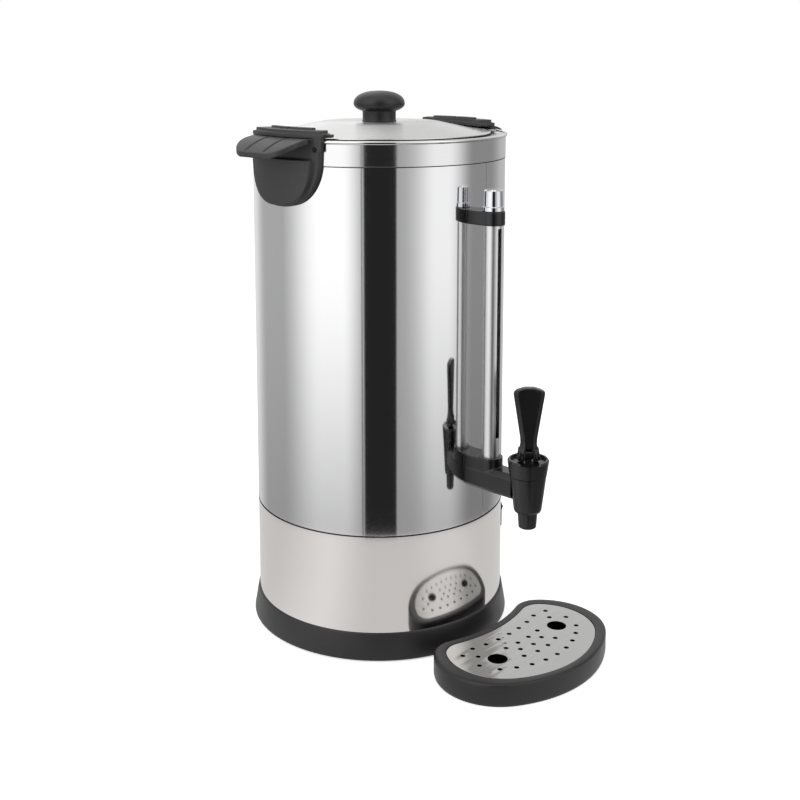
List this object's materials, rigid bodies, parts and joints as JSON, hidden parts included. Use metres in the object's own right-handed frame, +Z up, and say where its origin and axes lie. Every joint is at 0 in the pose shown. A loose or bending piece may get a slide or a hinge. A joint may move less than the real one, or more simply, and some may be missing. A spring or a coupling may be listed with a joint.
{
  "type": "coffee urn",
  "caption": "Double-walled steel coffee urn with lift-off locking lid, rim handles, sight gauge, spring lever tap, percolator set and a loose drip tray.",
  "frame": {"origin": "on the table, under the middle of the urn's round body", "axes": "+Z up along the urn's axis; the tap faces -Y; the two handles lie on +X and -X"},
  "size_m": [0.326, 0.3975, 0.5359],
  "materials": {
    "polished_steel": "mirror polished stainless sheet",
    "satin_steel": "satin stainless sheet, tube and fasteners",
    "charcoal_plastic": "fine-textured charcoal moulding",
    "black_satin_plastic": "satin black moulding",
    "black_gloss_plastic": "glossy black moulding",
    "black_rubber": "matt",
    "pale_silicone": "matt",
    "clear_glass": "clear, polished",
    "bright_chrome": "bright plated",
    "plated_brass": "bright",
    "amber_lens": "clear amber moulding",
    "lead_sleeve": "matt sleeve over copper",
    "pale_ceramic": "matt",
    "brown_resin": "matt"
  },
  "bodies": {
    "urn": {"base_ring": "black_satin_plastic", "bottom_cover": "satin_steel", "rubber_feet": "black_rubber", "base_screws": "satin_steel", "lower_band": "satin_steel", "outer_jacket": "polished_steel", "top_collar": "satin_steel", "inner_tank": "satin_steel", "handle_left": "charcoal_plastic", "handle_right": "charcoal_plastic", "lid_lock_left": "charcoal_plastic", "lid_lock_right": "charcoal_plastic", "lock_pins": "satin_steel", "handle_screws": "satin_steel", "tap_manifold": "black_gloss_plastic", "tap_gaskets": "black_rubber", "wall_spacer": "black_rubber", "tap_nut": "satin_steel", "gauge_guard": "satin_steel", "gauge_glass": "clear_glass", "gauge_seals": "black_rubber", "gauge_clamp": "black_gloss_plastic", "clamp_screw": "satin_steel", "valve_body": "black_gloss_plastic", "tap_bonnet": "black_gloss_plastic", "tap_spring": "satin_steel", "heating_element": "satin_steel", "thermostat": "pale_ceramic", "thermal_cutout": "brown_resin", "terminal_block": "pale_ceramic", "mains_inlet": "black_gloss_plastic", "inlet_pins": "plated_brass", "switch_frame": "black_gloss_plastic", "pilot_lamp": "amber_lens", "wiring": "lead_sleeve"},
    "lid_seal": {"lid_seal": "black_rubber"},
    "lid": {"lid": "polished_steel", "lid_knob": "black_satin_plastic", "knob_screw": "satin_steel"},
    "gauge_cap": {"gauge_cap": "bright_chrome"},
    "valve_stem": {"valve_stem": "black_gloss_plastic", "seat_cup": "pale_silicone"},
    "tap_lever": {"tap_lever": "black_gloss_plastic", "lever_pin": "satin_steel"},
    "drip_tray": {"drip_tray": "black_satin_plastic"},
    "drip_plate": {"drip_plate": "satin_steel"},
    "switch_rocker": {"switch_rocker": "black_gloss_plastic"},
    "pump_tube": {"pump_tube": "satin_steel"},
    "coffee_basket": {"coffee_basket": "satin_steel"},
    "basket_cover": {"basket_cover": "satin_steel"}
  },
  "joints": [
    {"name": "lid_turn", "type": "hinge", "parent": "urn", "child": "lid_seal", "pos_m": [0, 0, 0.493], "axis": [0, 0, 1], "range_deg": [0, 40]},
    {"name": "lid_lift", "type": "slide", "parent": "lid_seal", "child": "lid", "axis": [0, 0, 1], "range_m": [0, 0.15]},
    {"name": "lever_tilt", "type": "hinge", "parent": "valve_stem", "child": "tap_lever", "pos_m": [0, -0.192, 0.2065], "axis": [0.7193, -0.6947, 0], "range_deg": [0, 35], "stiffness_Nm_per_rad": 0.4},
    {"name": "stem_lift", "type": "slide", "parent": "urn", "child": "valve_stem", "axis": [0, 0, 1], "range_m": [0, 0.004], "deforming": ["tap_spring"]},
    {"name": "gauge_cap_lift", "type": "slide", "parent": "urn", "child": "gauge_cap", "axis": [0, 0, 1], "range_m": [0, 0.04]},
    {"name": "tray_slide", "type": "slide", "parent": "urn", "child": "drip_tray", "axis": [0, -1, 0], "range_m": [0, 0.15]},
    {"name": "plate_lift", "type": "slide", "parent": "drip_tray", "child": "drip_plate", "axis": [0, 0, 1], "range_m": [0, 0.06]},
    {"name": "switch_rock", "type": "hinge", "parent": "urn", "child": "switch_rocker", "pos_m": [0.09732, -0.07603, 0.092], "axis": [0.6157, 0.788, 0], "range_deg": [-16, 0]},
    {"name": "pump_lift", "type": "slide", "parent": "urn", "child": "pump_tube", "axis": [0, 0, 1], "range_m": [0, 0.03]},
    {"name": "basket_lift", "type": "slide", "parent": "pump_tube", "child": "coffee_basket", "axis": [0, 0, 1], "range_m": [0, 0.02]},
    {"name": "cover_lift", "type": "slide", "parent": "coffee_basket", "child": "basket_cover", "axis": [0, 0, 1], "range_m": [0, 0.015]}
  ],
  "couplings": [
    {"joint": "stem_lift", "follows": "lever_tilt", "m_per_rad": 0.006}
  ]
}
